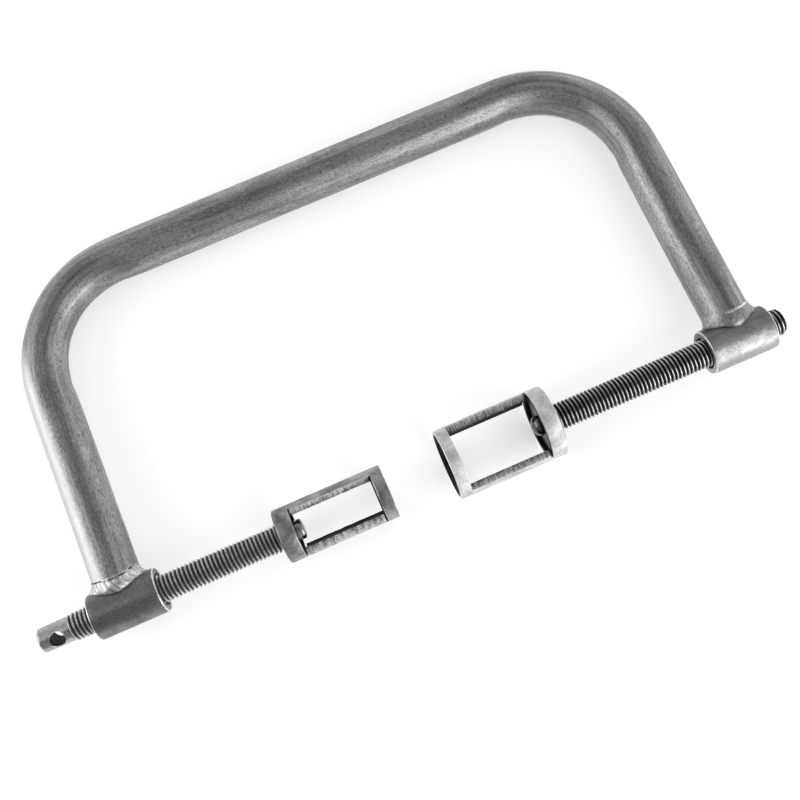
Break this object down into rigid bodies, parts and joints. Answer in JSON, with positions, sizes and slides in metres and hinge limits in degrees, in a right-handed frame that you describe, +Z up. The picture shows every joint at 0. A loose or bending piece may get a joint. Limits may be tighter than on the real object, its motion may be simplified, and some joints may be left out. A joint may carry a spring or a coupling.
{
  "type": "valve spring compressor",
  "caption": "Bent tube C-frame with two facing screw spindles, each ending in a swivelling windowed cage that presses a valve spring retainer.",
  "frame": {"origin": "centre of the bounding box's base, on the surface that the tool lies on", "axes": "+X along the screw spindles, from the tommy-bar end to the plain end; +Y from the spindles to the back bar; +Z up from the surface"},
  "size_m": [0.3314, 0.1672, 0.0305],
  "materials": {
    "tube_steel": "bare drawn steel tube, scuffed and lightly oxidised",
    "boss_steel": "bare turned steel, darkened",
    "weld_metal": "brushed weld bead",
    "spindle_steel": "oiled rolled thread, bright on the crests",
    "cage_steel": "satin machined steel, cloudy with handling",
    "base_steel": "dark turned steel",
    "pin_steel": "dark glossy steel",
    "washer_steel": "plain steel"
  },
  "bodies": {
    "frame": {"frame_tube": "tube_steel", "left_boss": "boss_steel", "right_boss": "boss_steel", "left_weld": "weld_metal", "right_weld": "weld_metal"},
    "left_carrier": {"left_thrust_washer": "washer_steel"},
    "left_screw": {"left_spindle": "spindle_steel", "left_swivel_pin": "pin_steel"},
    "small_cage": {"small_cage_shell": "cage_steel", "small_cage_base": "base_steel"},
    "right_carrier": {"right_thrust_washer": "washer_steel"},
    "right_screw": {"right_spindle": "spindle_steel", "right_swivel_pin": "pin_steel"},
    "large_cage": {"large_cage_shell": "cage_steel", "large_cage_base": "base_steel"}
  },
  "joints": [
    {"name": "left_feed", "type": "slide", "parent": "frame", "child": "left_carrier", "axis": [1, 0, 0], "range_m": [-0.051, 0.012]},
    {"name": "left_screw_turn", "type": "hinge", "parent": "left_carrier", "child": "left_screw", "pos_m": [-0.0615, -0.06833, 0.01525], "axis": [1, 0, 0], "range_deg": [-10496, 2474]},
    {"name": "small_cage_swivel", "type": "hinge", "parent": "left_carrier", "child": "small_cage", "pos_m": [-0.0615, -0.06833, 0.01525], "axis": [1, 0, 0], "continuous": true},
    {"name": "right_feed", "type": "slide", "parent": "frame", "child": "right_carrier", "axis": [1, 0, 0], "range_m": [-0.012, 0.0693]},
    {"name": "right_screw_turn", "type": "hinge", "parent": "right_carrier", "child": "right_screw", "pos_m": [0.0603, -0.06833, 0.01525], "axis": [1, 0, 0], "range_deg": [-2474, 14261]},
    {"name": "large_cage_swivel", "type": "hinge", "parent": "right_carrier", "child": "large_cage", "pos_m": [0.0603, -0.06833, 0.01525], "axis": [1, 0, 0], "continuous": true}
  ],
  "couplings": [
    {"joint": "left_screw_turn", "follows": "left_feed", "rad_per_m": 3590.4},
    {"joint": "right_screw_turn", "follows": "right_feed", "rad_per_m": 3590.4}
  ]
}
